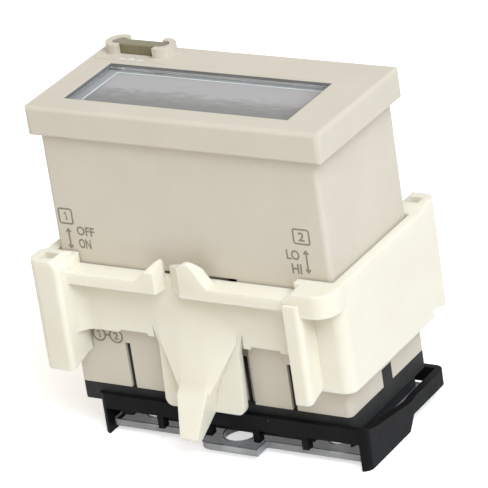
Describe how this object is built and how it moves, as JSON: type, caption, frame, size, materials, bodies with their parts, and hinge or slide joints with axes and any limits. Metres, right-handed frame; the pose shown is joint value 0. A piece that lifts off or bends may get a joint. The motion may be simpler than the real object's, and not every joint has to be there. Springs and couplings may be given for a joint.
{
  "type": "panel counter",
  "caption": "Small LCD total counter for a rectangular panel cut-out, with a reset key, a sliding ratchet bracket that clamps the panel, and rear screw terminals under a smoky clear cover.",
  "frame": {"origin": "middle of the panel seat, the plane of the bezel's rear face", "axes": "+Z out of the panel, X along the long side of the bezel, Y along its short side, with the reset key at +Y"},
  "size_m": [0.0492, 0.0376, 0.0533],
  "materials": {
    "case_plastic": "fine moulded texture, beige",
    "bracket_plastic": "waxy, slightly translucent ivory",
    "black_plastic": "satin black with pale specks",
    "clear_plastic": "clear, polished",
    "smoke_plastic": "smoky clear, polished",
    "display_glass": "grey display glass",
    "reflector": "satin sheet",
    "elastomer": "soft, matte",
    "board": "green solder resist",
    "resin": "cast black drop",
    "chip_body": "fired tan body",
    "steel": "nickel plated",
    "battery_can": "sleeved cell",
    "brass": "bright",
    "key_plastic": "olive grey, moulded",
    "knob_plastic": "white, moulded"
  },
  "bodies": {
    "counter": {"case": "case_plastic", "display_window": "clear_plastic", "lcd_cell": "display_glass", "lcd_reflector": "reflector", "lcd_holder": "black_plastic", "connector_strips": "elastomer", "display_board": "board", "controller_chip": "resin", "crystal": "steel", "capacitors": "chip_body", "key_contact": "elastomer", "battery": "battery_can", "battery_tabs": "steel", "battery_cradle": "black_plastic", "link_pins": "brass", "terminal_board": "board", "selector_bodies": "black_plastic", "terminal_block": "black_plastic", "terminal_straps": "brass", "terminal_washers": "steel", "terminal_screws": "steel", "terminal_guard": "black_plastic", "terminal_cover": "smoke_plastic"},
    "key": {"reset_key": "key_plastic"},
    "knob_1": {"selector_knob_1": "knob_plastic"},
    "knob_2": {"selector_knob_2": "knob_plastic"},
    "bracket": {"mounting_bracket": "bracket_plastic"}
  },
  "joints": [
    {"name": "key_press", "type": "slide", "parent": "counter", "child": "key", "axis": [0, 0, -1], "range_m": [0, 0.0008], "stiffness_N_per_m": 500},
    {"name": "bracket_slide", "type": "slide", "parent": "counter", "child": "bracket", "axis": [0, 0, 1], "range_m": [-0.003, 0.0155]},
    {"name": "selector_1", "type": "slide", "parent": "counter", "child": "knob_1", "axis": [0, 1, 0], "range_m": [0, 0.0016]},
    {"name": "selector_2", "type": "slide", "parent": "counter", "child": "knob_2", "axis": [0, 1, 0], "range_m": [0, 0.0016]}
  ]
}
